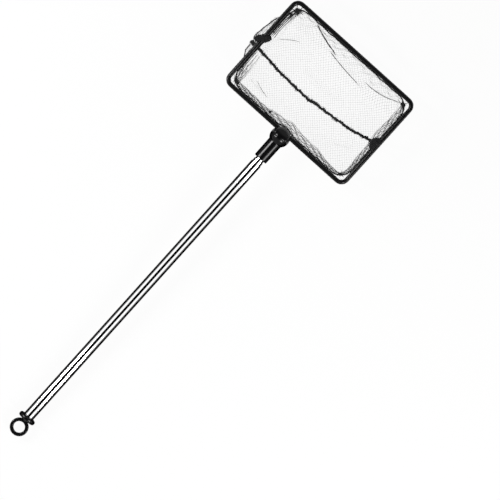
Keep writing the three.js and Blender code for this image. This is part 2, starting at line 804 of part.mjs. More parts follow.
tilted.add(frameWire());
tilted.add(frameCoating());
tilted.add(headSocket());
tilted.add(slidingTube('inner_tube', innerTubeDiameter, socketBoreFloor + touchGap, innerTubeEnd, {
  neckStart: innerNeckStart,
}));
tilted.add(slidingTube('middle_tube', middleTubeDiameter, middleTubeMouth, middleTubeEnd, {
  lip: true,
  neckStart: middleNeckStart,
}));
tilted.add(slidingTube('outer_tube', outerTubeDiameter, outerTubeMouth, outerTubeEnd, { lip: true }));
tilted.add(shim('inner_shim_left', innerTubeDiameter, innerNeckStart, -1));
tilted.add(shim('inner_shim_right', innerTubeDiameter, innerNeckStart, 1));
tilted.add(shim('middle_shim_left', middleTubeDiameter, middleNeckStart, -1));
tilted.add(shim('middle_shim_right', middleTubeDiameter, middleNeckStart, 1));
tilted.add(endCap());
tilted.add(hemStitching('hem_stitching_far_side', 1));
tilted.add(hemStitching('hem_stitching_handle_side', -1));
tilted.add(seamWrap('seam_wrap_left', -1, leftWrapPlace));
tilted.add(seamWrap('seam_wrap_right', 1, rightWrapPlace));
net.add(...bagPanels());
net.add(bagSeam());

// The origin goes to the middle of the box, on the surface
net.updateMatrixWorld(true);
const box = new THREE.Box3().setFromObject(net, true);
const middle = box.getCenter(new THREE.Vector3());
net.position.set(-middle.x, -middle.y, 0);

export default net;
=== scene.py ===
"""A fish net with a telescopic handle, lying mouth up on a pale floor and seen from straight above."""

import json
import math

import bpy
import numpy as np
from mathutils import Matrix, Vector


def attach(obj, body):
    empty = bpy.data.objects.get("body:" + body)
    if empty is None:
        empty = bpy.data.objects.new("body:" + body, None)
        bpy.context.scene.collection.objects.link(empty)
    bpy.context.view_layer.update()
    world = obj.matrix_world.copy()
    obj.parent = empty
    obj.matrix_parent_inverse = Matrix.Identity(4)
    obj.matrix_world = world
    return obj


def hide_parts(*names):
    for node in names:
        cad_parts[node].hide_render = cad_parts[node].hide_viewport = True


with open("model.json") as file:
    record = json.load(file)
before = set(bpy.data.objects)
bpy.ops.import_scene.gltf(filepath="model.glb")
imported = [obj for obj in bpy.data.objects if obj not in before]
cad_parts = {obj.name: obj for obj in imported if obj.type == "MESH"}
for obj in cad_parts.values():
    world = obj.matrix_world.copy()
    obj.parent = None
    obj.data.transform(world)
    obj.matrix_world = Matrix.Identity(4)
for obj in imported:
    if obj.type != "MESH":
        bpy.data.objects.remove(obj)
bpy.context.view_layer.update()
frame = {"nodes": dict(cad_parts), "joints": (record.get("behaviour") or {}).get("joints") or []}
nodes = frame["nodes"]

MM = 0.001

# The net's own directions: across the handle, along it towards the frame, and square to the frame's plane
middle_slide = next(j for j in frame["joints"] if j["name"] == "middle_slide")
middle_swivel = next(j for j in frame["joints"] if j["name"] == "middle_swivel")
ACROSS = np.array([1.0, 0.0, 0.0])
ALONG = np.array(middle_slide["axis"]) / np.linalg.norm(middle_slide["axis"])
ABOVE = np.cross(ACROSS, ALONG)
AXES = np.stack([ACROSS, ALONG, ABOVE])
ON_AXIS = np.array(middle_swivel["pos_m"])


def corners_in_net(node, origin):
    """Lowest and highest corner of a node, measured in the net's own directions from origin."""
    mesh = nodes[node].data
    points = np.empty(len(mesh.vertices) * 3)
    mesh.vertices.foreach_get("co", points)
    own = (points.reshape(-1, 3) - origin) @ AXES.T
    return own.min(axis=0), own.max(axis=0)


frame_low, frame_high = corners_in_net("frame_coating", ON_AXIS)
CENTRE = ON_AXIS + ALONG * (frame_low[1] + frame_high[1]) / 2


def span(node):
    """A node's lowest and highest corner in the net's directions, from the middle of the frame."""
    return corners_in_net(node, CENTRE)


def net_point(x, y, z):
    """World places of points given in the net's directions, from the middle of the frame."""
    x, y, z = np.broadcast_arrays(x, y, z)
    return CENTRE + x[..., None] * ACROSS + y[..., None] * ALONG + z[..., None] * ABOVE


# Driving sizes taken from the frame's nodes
COATING_RADIUS = (frame_high[2] - frame_low[2]) / 2
HALF_WIDTH = (frame_high[0] - frame_low[0]) / 2 - COATING_RADIUS
HALF_DEPTH = (frame_high[1] - frame_low[1]) / 2 - COATING_RADIUS
FRAME_CORNER = 7 * MM


def camera_above():
    """The photograph's view: straight down, turned about the vertical."""
    photo_turn_degrees, view_width, lens, sensor = 42.02, 0.4978, 250, 36
    across_frame, along_frame = 53.24 * MM, -162.89 * MM
    data = bpy.data.cameras.new("camera")
    data.lens = lens
    data.sensor_width = sensor
    data.clip_end = 50
    camera = bpy.data.objects.new("camera", data)
    camera.location = CENTRE + np.array([across_frame, along_frame, view_width * lens / sensor])
    camera.rotation_euler = (0, 0, math.radians(photo_turn_degrees))
    bpy.context.scene.collection.objects.link(camera)
    bpy.context.scene.camera = camera


camera_above()
bpy.context.scene.view_settings.view_transform = "Standard"


# Materials
class NodeTree:
    """The node tree of a material or a world, being built node by node."""

    def __init__(self, owner):
        owner.use_nodes = True
        self.tree = owner.node_tree

    def node(self, kind, inputs=(), **settings):
        made = self.tree.nodes.new(kind)
        for key, value in settings.items():
            setattr(made, key, value)
        for socket, value in dict(inputs).items():
            if isinstance(value, bpy.types.NodeSocket):
                self.tree.links.new(value, made.inputs[socket])
            else:
                made.inputs[socket].default_value = value
        return made

    def math(self, operation, first, second=0):
        return self.node("ShaderNodeMath", {0: first, 1: second}, operation=operation).outputs[0]


class Shader(NodeTree):
    """A material with a principled surface, whose patterns keep their place on the net."""

    def __init__(self, name, **values):
        self.material = bpy.data.materials.new(name)
        super().__init__(self.material)
        self.surface = self.tree.nodes["Principled BSDF"].inputs
        self.place = self.node("ShaderNodeTexCoord").outputs["Object"]
        for socket, value in values.items():
            self.surface[socket.replace("_", " ")].default_value = value

    def noise(self, scale, detail, vector=None, roughness=0.5):
        inputs = {"Vector": vector or self.place, "Scale": scale, "Detail": detail, "Roughness": roughness}
        return self.node("ShaderNodeTexNoise", inputs).outputs["Fac"]

    def colour(self, factor, dark, light):
        ramp = self.node("ShaderNodeValToRGB", {"Fac": factor})
        for element, position, colour in zip(ramp.color_ramp.elements, (0.3, 0.7), (dark, light)):
            element.position = position
            element.color = (*colour, 1)
        self.tree.links.new(ramp.outputs["Color"], self.surface["Base Color"])

    def roughness(self, factor, low, high):
        inputs = {"Value": factor, "From Min": 0.3, "From Max": 0.7, "To Min": low, "To Max": high}
        made = self.node("ShaderNodeMapRange", inputs)
        self.tree.links.new(made.outputs["Result"], self.surface["Roughness"])

    def bump(self, height, distance, strength=1.0):
        made = self.node("ShaderNodeBump", {"Height": height, "Distance": distance, "Strength": strength})
        self.tree.links.new(made.outputs["Normal"], self.surface["Normal"])


def glossy_black(name, ripple_per_metre, ripple_height, roughness):
    """Black plastic with a wet gloss, faint ripples and a slightly uneven sheen."""
    shader = Shader(name, IOR=1.46, Specular_IOR_Level=0.32)
    shader.colour(shader.noise(180, 4), (0.0028, 0.0028, 0.003), (0.0052, 0.0052, 0.0056))
    shader.roughness(shader.noise(420, 5), roughness * 0.75, roughness * 1.35)
    shader.bump(shader.noise(ripple_per_metre, 2), ripple_height)
    return shader.material


def polished_steel():
    """Drawn and polished stainless tube, with hair lines along its length."""
    shader = Shader("polished_steel", Metallic=1.0, Specular_Tint=(0.2, 0.2, 0.2, 1))
    stretch = {"Vector": shader.place, "Scale": (1, 0.01, 1)}
    lines = shader.noise(9000, 4, shader.node("ShaderNodeMapping", stretch).outputs["Vector"], 0.7)
    shader.colour(lines, (0.83, 0.835, 0.84), (0.92, 0.922, 0.925))
    shader.roughness(lines, 0.03, 0.07)
    shader.bump(lines, 0.0006 * MM, 0.2)
    return shader.material


def drawn_wire():
    """The frame's steel wire under its coating."""
    shader = Shader("drawn_wire", Metallic=1.0)
    lines = shader.noise(2500, 4)
    shader.colour(lines, (0.42, 0.43, 0.44), (0.58, 0.59, 0.6))
    shader.roughness(lines, 0.3, 0.5)
    shader.bump(lines, 0.01 * MM)
    return shader.material


def sprung_brass():
    """Thin rolled brass, slightly tarnished."""
    shader = Shader("sprung_brass", Metallic=1.0)
    patches = shader.noise(700, 4)
    shader.colour(patches, (0.52, 0.36, 0.13), (0.74, 0.55, 0.24))
    shader.roughness(shader.noise(3000, 3), 0.22, 0.42)
    shader.bump(patches, 0.01 * MM)
    return shader.material


def netting_nylon():
    """Fine black nylon strands with a soft shine."""
    shader = Shader("netting_nylon", Specular_IOR_Level=0.3)
    shader.colour(shader.noise(300, 3), (0.006, 0.006, 0.0065), (0.016, 0.016, 0.017))
    shader.roughness(shader.noise(2600, 2), 0.42, 0.62)
    shader.bump(shader.noise(9000, 2), 0.02 * MM)
    return shader.material


def sewing_thread():
    """Black spun polyester: plies with a fuzzy, matt surface."""
    shader = Shader("sewing_thread", Specular_IOR_Level=0.25, Sheen_Weight=0.12, Sheen_Roughness=0.5)
    waves = {"Vector": shader.place, "Scale": 700, "Distortion": 3.0, "Detail": 2.0}
    plies = shader.node("ShaderNodeTexWave", waves, bands_direction="DIAGONAL").outputs["Fac"]
    shader.colour(plies, (0.003, 0.003, 0.0032), (0.011, 0.011, 0.012))
    shader.roughness(shader.noise(2000, 3), 0.65, 0.85)
    shader.bump(plies, 0.05 * MM)
    return shader.material


COATING = glossy_black("dip_coating", 300, 0.03 * MM, 0.2)
MOULDING = glossy_black("moulded_plastic", 500, 0.006 * MM, 0.12)
STEEL = polished_steel()
WIRE = drawn_wire()
BRASS = sprung_brass()
NYLON = netting_nylon()
THREAD = sewing_thread()


# Meshes
def mesh_object(name, points, faces, material=None):
    """A mesh object in the scene, from world points and faces."""
    mesh = bpy.data.meshes.new(name)
    mesh.from_pydata(np.asarray(points, dtype=float).reshape(-1, 3), [], faces)
    if material:
        mesh.materials.append(material)
    made = bpy.data.objects.new(name, mesh)
    bpy.context.scene.collection.objects.link(made)
    return made


def shade(mesh, sharp_degrees):
    """Smooth shading, but for edges sharper than an angle."""
    mesh.shade_smooth()
    mesh.set_sharp_from_angle(angle=math.radians(sharp_degrees))


def piece(name, points, faces, material, body, slot, replaces):
    """A mesh object with its material, which rides on a body and hides the nodes it replaces."""
    made = mesh_object(name, points, faces, material)
    made.data.validate()
    shade(made.data, 40)
    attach(made, body)
    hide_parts(*replaces)
    return made


def arc(centre, radius, from_degrees, to_degrees, steps=8):
    """Points of an arc in a profile, as (radius, distance) pairs."""
    angles = np.radians(np.linspace(from_degrees, to_degrees, steps + 1))
    return [(centre[0] + radius * math.cos(a), centre[1] + radius * math.sin(a)) for a in angles]


def held(profile):
    """A closed profile with a point close to both ends of each long side, so that it is shaded flat."""
    points, margin = [], 0.25 * MM
    for start, end in zip(profile, profile[1:] + profile[:1]):
        points.append(start)
        length = math.dist(start, end)
        if length > 4 * margin:
            for share in (margin / length, 1 - margin / length):
                points.append(tuple(s + (e - s) * share for s, e in zip(start, end)))
    return points


def turned(profile, turn_axis="along", middle=(0, 0, 0)):
    """Points and faces of a closed profile of (radius, distance) points, turned about the handle's axis or
    about one square to the frame. A point on the axis has radius 0."""
    sides = 96
    angles = 2 * np.pi * np.arange(sides) / sides
    points, rings = [], []
    for radius, distance in held(profile):
        count = sides if radius > 0 else 1
        rings.append([len(points) + i % count for i in range(sides)])
        points += [(radius * math.cos(a), distance, radius * math.sin(a)) for a in angles[:count]]
    faces = []
    for first, second in zip(rings, rings[1:] + rings[:1]):
        if first[0] == first[1] and second[0] == second[1]:
            continue
        for i in range(sides):
            j = (i + 1) % sides
            faces.append(list(dict.fromkeys([first[i], first[j], second[j], second[i]])))
    points = np.array(points)
    if turn_axis == "above":
        points = points[:, [0, 2, 1]] * np.array([1, -1, 1])
    return net_point(*(points + np.array(middle)).T), faces


def joined(*parts):
    """Several sets of points and faces as one."""
    points, faces, count = [], [], 0
    for part_points, part_faces in parts:
        points.append(np.asarray(part_points).reshape(-1, 3))
        faces.extend([[i + count for i in face] for face in part_faces])
        count += len(points[-1])
    return np.concatenate(points), faces


def unit(vectors):
    """Vectors of length 1 in the same directions."""
    return vectors / np.linalg.norm(vectors, axis=-1, keepdims=True)


def path_length(route):
    """The distance along a route at each of its points."""
    return np.concatenate([[0], np.cumsum(np.linalg.norm(np.diff(route, axis=0), axis=1))])


def directions(route, reference, closed=False):
    """The way along a route and two ways square to it, the first of them square to the reference too."""
    ahead = np.roll(route, -1, axis=0) - np.roll(route, 1, axis=0) if closed else np.gradient(route, axis=0)
    tangent = unit(ahead)
    side = unit(np.cross(reference, tangent))
    return tangent, side, np.cross(tangent, side)


def swept(route, radius, sides, reference, closed=False):
    """Points and faces of a round thread or bar along a route of world points. The radius may vary along
    it, and the reference is a direction that the route never takes."""
    _, side, lift = directions(route, reference, closed)
    angles = (2 * np.pi * np.arange(sides) / sides)[:, None]
    ring = side[:, None] * np.cos(angles) + lift[:, None] * np.sin(angles)
    count = len(route)
    radius = np.broadcast_to(radius, (count,))[:, None, None]
    points = (route[:, None] + radius * ring).reshape(-1, 3)
    first = np.arange(count if closed else count - 1)[:, None] * sides
    second = (first + sides) % (count * sides)
    i = np.arange(sides)
    j = (i + 1) % sides
    faces = np.stack([first + i, first + j, second + j, second + i], axis=-1).reshape(-1, 4).tolist()
    if not closed:
        faces += [list(range(sides))[::-1], list(range((count - 1) * sides, count * sides))]
    return points, faces


def cut(made, cutter, operation="DIFFERENCE"):
    """Another closed mesh, given as points and faces, cut out of a piece or joined to it."""
    tool = mesh_object("cutter", *cutter)
    modifier = made.modifiers.new("cut", "BOOLEAN")
    modifier.operation = operation
    modifier.solver = "EXACT"
    modifier.object = tool
    bpy.context.view_layer.update()
    evaluated = made.evaluated_get(bpy.context.evaluated_depsgraph_get())
    result = bpy.data.meshes.new_from_object(evaluated)
    made.modifiers.clear()
    made.data = result
    bpy.data.objects.remove(tool)
    shade(made.data, 35)


# Handle and socket. Distances run along the handle from the middle of the frame, so the ring's are negative
HANDLE_WIRE = -HALF_DEPTH
WIRE_RADIUS = 1.6 * MM
TAIL_SPACING = 4 * MM
TAIL_BEND = 4 * MM
TUBE_WALL = 0.3 * MM
FIT = 0.1 * MM


def rounded_corner(radius, distance, rounding, from_degrees, to_degrees, steps=8):
    """A rounded corner of a profile as (radius, distance) points, turning between two directions."""
    middle = math.radians((from_degrees + to_degrees) / 2)
    centre = (
        radius - math.copysign(rounding, math.cos(middle)),
        distance - math.copysign(rounding, math.sin(middle)),
    )
    return arc(centre, rounding, from_degrees, to_degrees, steps)


def wire_line(half_gap):
    """The frame's wire line: a rounded rectangle with a gap in its handle side."""
    straight_x, straight_y = HALF_WIDTH - FRAME_CORNER, HALF_DEPTH - FRAME_CORNER
    points = [(-half_gap, -HALF_DEPTH)]
    for sign_x, sign_y, start in ((-1, -1, 270), (-1, 1, 180), (1, 1, 90), (1, -1, 0)):
        points += arc((sign_x * straight_x, sign_y * straight_y), FRAME_CORNER, start, start - 90, 20)
    points.append((half_gap, -HALF_DEPTH))
    return net_point(*np.array(points).T, 0)


def refined(route, spacing):
    """The same route with more points, no further apart than the spacing."""
    pieces = []
    for start, end in zip(route[:-1], route[1:]):
        count = max(int(np.ceil(np.linalg.norm(end - start) / spacing)), 1)
        pieces.append(np.linspace(start, end, count, endpoint=False))
    return np.concatenate([*pieces, route[-1:]])


def frame_bar():
    """The coated bar: a hollow skin round the wire, open where it ends inside the ball."""
    half_gap = TAIL_SPACING / 2 + TAIL_BEND + 0.4 * MM
    route = refined(wire_line(half_gap), 4 * MM)
    sides = 40
    outer, faces = swept(route, COATING_RADIUS, sides, ABOVE)
    inner, _ = swept(route, WIRE_RADIUS + FIT, sides, ABOVE)
    count = len(outer)
    walls = faces[:-2]
    walls += [[i + count for i in reversed(face)] for face in walls]
    for start, order in ((0, 1), (count - sides, -1)):
        for i in range(sides):
            j = (i + 1) % sides
            walls.append([start + i, start + count + i, start + count + j, start + j][::order])
    points = np.concatenate([outer, inner])
    piece("frame_bar", points, walls, COATING, "head", "black_coating", ["frame_coating"])


def socket():
    """Ball and sleeve in one moulding, bored for the inner tube and cut where the coated bar passes through
    the ball.
    """
    low, high = span("head_socket")
    ball_radius, mouth = high[0], low[1]
    ball_centre = high[1] - ball_radius
    sleeve_at_ball, sleeve_at_mouth, rounding, fillet = 7.45 * MM, 7.3 * MM, 0.7 * MM, 0.35 * MM
    tube_radius, tube_end, _ = span("inner_tube")[1]
    bore_radius, bore_floor = tube_radius + FIT, tube_end + 0.3 * MM
    join = math.degrees(math.asin(sleeve_at_ball / ball_radius))
    profile = arc((0, ball_centre), ball_radius, 90, -90 + join + 1.5, 60)
    profile[0] = (0, ball_centre + ball_radius)
    sleeve_start = ball_centre - ball_radius * math.cos(math.radians(join)) - fillet
    profile += [(sleeve_at_ball, sleeve_start), (sleeve_at_ball - 0.005 * MM, sleeve_start - MM)]
    profile += rounded_corner(sleeve_at_mouth, mouth, rounding, 0, -90)
    profile += [(bore_radius, mouth), (bore_radius, bore_floor), (0, bore_floor)]
    made = piece("ball_socket", *turned(profile), MOULDING, "head", "black_plastic", ["head_socket"])
    bar_room = net_point(np.array([-1, 1]) * (ball_radius + COATING_RADIUS), HANDLE_WIRE, 0)
    cut(made, swept(bar_room, COATING_RADIUS + FIT, 40, ABOVE))


def tube(node, name, body, lip=False, neck=False):
    """A thin drawn tube, with a rolled mouth and a neck at its hidden end where asked."""
    low, high = span(node)
    end, mouth, outer = low[1], high[1], high[0]
    bore = outer - TUBE_WALL
    outside, inside = [(outer, mouth)], [(bore, mouth)]
    if lip:
        lip_bore = bore - 0.12 * MM
        outside = rounded_corner(outer, mouth, 0.3 * MM, 90, 0, 6)
        inside = [(lip_bore, mouth), (lip_bore, mouth - 2.2 * MM), (bore, mouth - 2.6 * MM)]
    if neck:
        depth, taper = 0.35 * MM, 0.4 * MM
        neck_end = end + 1.5 * MM
        neck_start = neck_end + 10.5 * MM
        steps = ((0, neck_start + taper), (depth, neck_start), (depth, neck_end), (0, neck_end - taper))
        outside += [(outer - drop, distance) for drop, distance in steps]
        inside += [(bore - drop, distance) for drop, distance in steps]
    profile = outside + [(outer, end), (bore, end)] + inside[::-1]
    piece(name, *turned(profile), STEEL, body, "tube_steel", [node])


def end_cap():
    """Plug, collar, flange and hanging ring in one moulding."""
    low, high = span("end_cap")
    ring_outer = -low[0]
    ring_centre = low[1] + ring_outer
    ring_hole, ring_half, ring_round = 5.85 * MM, 2 * MM, MM
    flange_end = ring_centre + ring_outer + 0.2 * MM
    flange_start = flange_end + 4.4 * MM
    flange_radius, flange_round = high[2], 1.7 * MM
    collar, collar_start = 6.4 * MM, flange_start + 0.6 * MM
    plug, chamfer = span("outer_tube")[1][0] - TUBE_WALL - FIT, 0.5 * MM
    plug_start = high[1]
    neck, fillet, tip = 3 * MM, 0.8 * MM, 1.6 * MM
    neck_end = ring_centre + ring_hole + ring_round
    profile = [(0, plug_start), (plug - chamfer, plug_start), (plug, plug_start - chamfer)]
    profile += [(plug, collar_start)]
    profile += rounded_corner(collar, collar_start, 0.25 * MM, 90, 0, 5)
    profile += [(collar, flange_start)]
    profile += rounded_corner(flange_radius, flange_start, flange_round, 90, 0, 10)
    profile += rounded_corner(flange_radius, flange_end, flange_round, 0, -90, 10)
    profile += arc((neck + fillet, flange_end - fillet), fillet, 90, 180, 8)
    profile += [(tip, neck_end), (0, neck_end)]
    made = piece("cap_and_ring", *turned(profile), MOULDING, "handle", "black_plastic", ["end_cap"])
    section = []
    for radius, face, start in (
        (ring_outer, -1, -90), (ring_outer, 1, 0), (ring_hole, 1, 90), (ring_hole, -1, 180),
    ):
        section += rounded_corner(radius, face * ring_half, ring_round, start, start + 90, 10)
    cut(made, turned(section, "above", (0, ring_centre, 0)), "UNION")


frame_bar()
socket()
tube("inner_tube", "inner_tube_drawn", "head", neck=True)
tube("middle_tube", "middle_tube_drawn", "middle_section", lip=True, neck=True)
tube("outer_tube", "outer_tube_drawn", "handle", lip=True)
end_cap()
shims = ("inner_shim_left", "inner_shim_right", "middle_shim_left", "middle_shim_right")
for node in ("frame_wire", *shims):
    nodes[node].data.materials.clear()
    nodes[node].data.materials.append(BRASS if node in shims else WIRE)


# The bag. Flat cloth coordinates run along the frame's sides from its middle, and its floor keeps its place
STITCH_INSET = 2.85 * MM
RIM_X = HALF_WIDTH - STITCH_INSET
RIM_Y = HALF_DEPTH - STITCH_INSET
CORNER_CUT = 14 * MM
MESH_PITCH = 2.3 * MM
STRAND_RADIUS = 0.05 * MM
WALL_STRAND_RADIUS = 0.115 * MM
WALL_CLOTH = 56 * MM
LEFT_WALL_CLOTH = 74 * MM
FAR_WALL_CLOTH = 38 * MM
LEFT_SEAM_END = 2.5 * MM
RIGHT_SEAM_END = -0.8 * MM

# Usual reach and height of the walls on the short sides, the handle's side and the far side
SHORT_WALL, HANDLE_WALL, FAR_WALL = np.array([(8, 32), (7, 30), (23, 35)]) * MM

# The seam's line seen from above, from left to right
SEAM_ROUTE = np.array([
    (-76.7, -6.3), (-68, -9), (-55, -10.8), (-40, -12.2), (-20, -12.6), (-4, -13),
    (7, -11.2), (30, -9.4), (50, -6), (68, -2.6), (75, -1),
]) * MM


def smooth(value, low, high):
    """0 below low, 1 above high and an S-curve between."""
    share = np.clip((value - low) / (high - low), 0, 1)
    return share * share * (3 - 2 * share)


def hump(value, low, high, soft):
    """1 between low and high, 0 outside, with soft ends."""
    return smooth(value, low - soft, low + soft) * (1 - smooth(value, high - soft, high + soft))


def bell(value, width):
    """1 at 0, falling off evenly on both sides."""
    return np.exp(-((value / width) ** 2))


def ripple(x, y, length, phase=0.0):
    """Uneven waves between about -1 and 1, of roughly the given length."""
    k = 2 * np.pi / length
    first = np.sin(k * (0.93 * x + 0.38 * y) + phase)
    second = np.sin(k * (0.71 * y - 0.59 * x) * 1.31 + 2.1 * phase + 1)
    third = np.sin(k * (0.45 * x + 0.97 * y) * 0.77 + 0.7 * phase + 2)
    return (first + second + third) / 2.2


def wall(share, size, steep=True):
    """Way out from the floor's edge and way up, each from 0 to 1, for a share of the cloth of a wall. Its
    size is its reach and height."""
    out = np.linspace(0, 1, 90)
    up = out**1.25
    if not steep:
        angle = out * np.pi / 2
        out, up = np.sin(angle), 1 - np.cos(angle)
    length = path_length(np.column_stack([out, up]) * size)
    length = length / length[-1]
    return np.interp(share, length, out), np.interp(share, length, up)


def ball_bow(x):
    """How far the hem keeps further in beside the ball."""
    return 2.5 * MM * bell(x, 6.5 * MM)


# The outer edge of the slack left wall, as places along it and across the net, in two lobes beside the seam
BULGE_EDGE = (
    (-40, -72), (-31, -75), (-24.1, -80.7), (-18, -84), (-13.5, -84.8), (-9, -84.4), (-6.1, -83.6),
    (-4.2, -86.6), (-2.4, -87.1), (9, -85.7), (20.7, -83.4), (27.1, -81.6), (34, -77), (42, -72),
)


def left_bulge(y):
    """How far the slack left wall bulges out under the bar."""
    places, edge = np.array(BULGE_EDGE).T * MM
    return edge[0] - np.interp(y, places, edge)


def cloth_shares(a, b):
    """How far up each wall a flat place is, from 0 at the floor's edge to 1 at the hem, then the edges of the
    floor and the reaches of the walls there."""
    x, y = np.clip(a, -RIM_X, RIM_X) / MM, np.clip(b, -RIM_Y, RIM_Y) / MM
    left = 8.2 - 1.2 * smooth(y, -5, 15) + 0.8 * np.sin(y / 7)
    right = 6.2 + 1.6 * np.sin(y / 15 + 0.6) + 0.6 * np.sin(y / 5)
    near = 4 + 4.2 * hump(x, -22, 42, 8) + 0.5 * np.sin(x / 6)
    far = 23 + 3 * np.sin(x / 28)
    reach_x = np.where(a < 0, left, right) * MM
    reach_y = np.where(b < 0, near, far) * MM
    edge_x, edge_y = RIM_X - reach_x, RIM_Y - reach_y - np.where(b < 0, ball_bow(x * MM), 0)
    share_x = (np.abs(a) - edge_x) / np.where(a < 0, LEFT_WALL_CLOTH, WALL_CLOTH)
    share_y = (np.abs(b) - edge_y) / np.where(b < 0, WALL_CLOTH, FAR_WALL_CLOTH)
    return share_x, share_y, edge_x, edge_y, reach_x, reach_y


# Folds seen from above: start, bend and end of the line, how much cloth it takes up, its width and its rise
FOLDS = (
    ((-48, 49.5), (-34, 43), (-13, 39), 3.2, 2.4, 2.0),
    ((-21, 37.5), (1, 33.6), (30, 30.5), 2.6, 2.5, 1.2),
    ((26, 38.3), (45, 36.5), (67, 47), 2.8, 2.5, 1.8),
    ((-67, 12), (-59, 19.5), (-49, 24.5), 2.2, 3.0, 1.5),
    ((-64, -35.5), (-51, -38.5), (-38, -38.7), 2.0, 2.8, 1.2),
    ((40, -30.2), (51, -26), (62, -19.5), 2.2, 3.0, 1.3),
    ((-30, 8), (-8, 3), (22, 8), 1.2, 3.5, 0.6),
)


def curve(start, bend, end, count):
    """Points along a bent line from start to end, which bend draws to itself."""
    share = np.linspace(0, 1, count)[:, None]
    start, bend, end = np.array([start, bend, end]) * MM
    return (1 - share) ** 2 * start + 2 * share * (1 - share) * bend + share**2 * end


def folded(x, y, up):
    """Cloth places seen from above moved into its folds, and how far the folds rise."""
    rise = np.zeros_like(x)
    free = 1 - smooth(up, 0.8, 1)
    for start, bend, end, taken, width, height in FOLDS:
        line = curve(start, bend, end, 13)
        gap_x, gap_y = x[..., None] - line[:, 0], y[..., None] - line[:, 1]
        nearest = np.argmin(gap_x**2 + gap_y**2, axis=-1)
        forward = unit(np.gradient(line, axis=0))[nearest]
        forward_x, forward_y = forward[..., 0], forward[..., 1]
        off_x, off_y = x - line[nearest, 0], y - line[nearest, 1]
        distance = off_y * forward_x - off_x * forward_y
        past = np.abs(off_x * forward_x + off_y * forward_y)
        at = nearest / (len(line) - 1)
        strength = free * smooth(at, -0.05, 0.2) * (1 - smooth(at, 0.75, 1.05)) * bell(past, 6 * MM)
        width = width * MM
        shift = -taken * MM * np.tanh(distance / width) * bell(distance, 4 * width) * strength
        x = x - shift * forward_y
        y = y + shift * forward_x
        rise = rise + height * MM * bell(distance, 2 * width) * strength
    return x, y, rise


def bag(a, b):
    """World places of flat cloth places."""
    warp, wall_wave, floor_wave, floor_gap = 0.35 * MM, 1.2 * MM, 0.42 * MM, 0.25 * MM
    a = a + warp * ripple(a, b, 31 * MM)
    b = b + warp * ripple(b, a, 27 * MM, 2)
    share_x, share_y, edge_x, edge_y, reach_x, reach_y = cloth_shares(a, b)
    share_x, share_y = np.clip(share_x, 0, 1), np.clip(share_y, 0, 1)
    out_x, up_x = wall(share_x, SHORT_WALL)
    near_out, near_up = wall(share_y, HANDLE_WALL)
    far_out, far_up = wall(share_y, FAR_WALL, steep=False)
    out_y, up_y = np.where(b < 0, near_out, far_out), np.where(b < 0, near_up, far_up)
    x = np.sign(a) * (np.minimum(np.abs(a), edge_x) + reach_x * out_x)
    y = np.sign(b) * (np.minimum(np.abs(b), edge_y) + reach_y * out_y)
    up = 1 - (1 - up_x) * (1 - up_y)
    in_wall_x, in_wall_y = np.sin(np.pi * share_x) * (share_y < 1), np.sin(np.pi * share_y) * (share_x < 1)
    x = x - np.where(a < 0, left_bulge(y) * in_wall_x**1.4 * (1 - share_y), 0)
    x = x + np.sign(a) * wall_wave * ripple(b, a, 10 * MM, 1) * in_wall_x
    y = y + np.sign(b) * wall_wave * ripple(a, b, 11 * MM, 3) * in_wall_y
    inner_x, inner_y = RIM_X - CORNER_CUT, RIM_Y - CORNER_CUT
    u, v = (np.abs(x) - inner_x) / CORNER_CUT, (np.abs(y) - inner_y) / CORNER_CUT
    in_corner = (u > 0) & (v > 0)
    u, v = np.clip(u, 0, 1.2), np.clip(v, 0, 1.2)
    x = np.where(in_corner, np.sign(x) * (inner_x + CORNER_CUT * u * np.sqrt(1 - v * v / 2)), x)
    y = np.where(in_corner, np.sign(y) * (inner_y + CORNER_CUT * v * np.sqrt(1 - u * u / 2)), y)
    x, y, rise = folded(x, y, up)
    ground = floor_gap + floor_wave * (1 + ripple(x, y, 55 * MM, 4)) + rise
    floor_height = (ground - CENTRE[2] - y * ALONG[2]) / ABOVE[2]
    return net_point(x, y, floor_height * (1 - up))


def seam_flat(a):
    """The seam's flat place across the cloth for its place along it."""
    share_x, _, edge_x, _, reach_x, _ = cloth_shares(a, np.full_like(a, SEAM_ROUTE[0][1]))
    out_x, _ = wall(np.clip(share_x, 0, 1), SHORT_WALL)
    x = np.sign(a) * (np.minimum(np.abs(a), edge_x) + reach_x * out_x)
    return np.interp(x, SEAM_ROUTE[:, 0], SEAM_ROUTE[:, 1])


def runs(keep):
    """The stretches of a row of samples that are kept, with one more sample at each end."""
    index = np.flatnonzero(keep)
    groups = np.split(index, np.flatnonzero(np.diff(index) > 1) + 1)
    return [np.arange(g[0] - 1, g[-1] + 2) for g in groups if len(g) > 1]


def strand_radius(a, b):
    """The strands look thicker where the cloth is gathered in the walls."""
    share_x, share_y, *_ = cloth_shares(a, b)
    bulging = np.where(a < 0, 0.8 * hump(b, -23 * MM, 32 * MM, 5 * MM), 0)
    beside = smooth(share_x, 0, 0.12) * (1 - bulging)
    gathered = np.maximum(beside, np.where(b < 0, 1, 0.35) * smooth(share_y, 0, 0.12))
    return STRAND_RADIUS + (WALL_STRAND_RADIUS - STRAND_RADIUS) * gathered


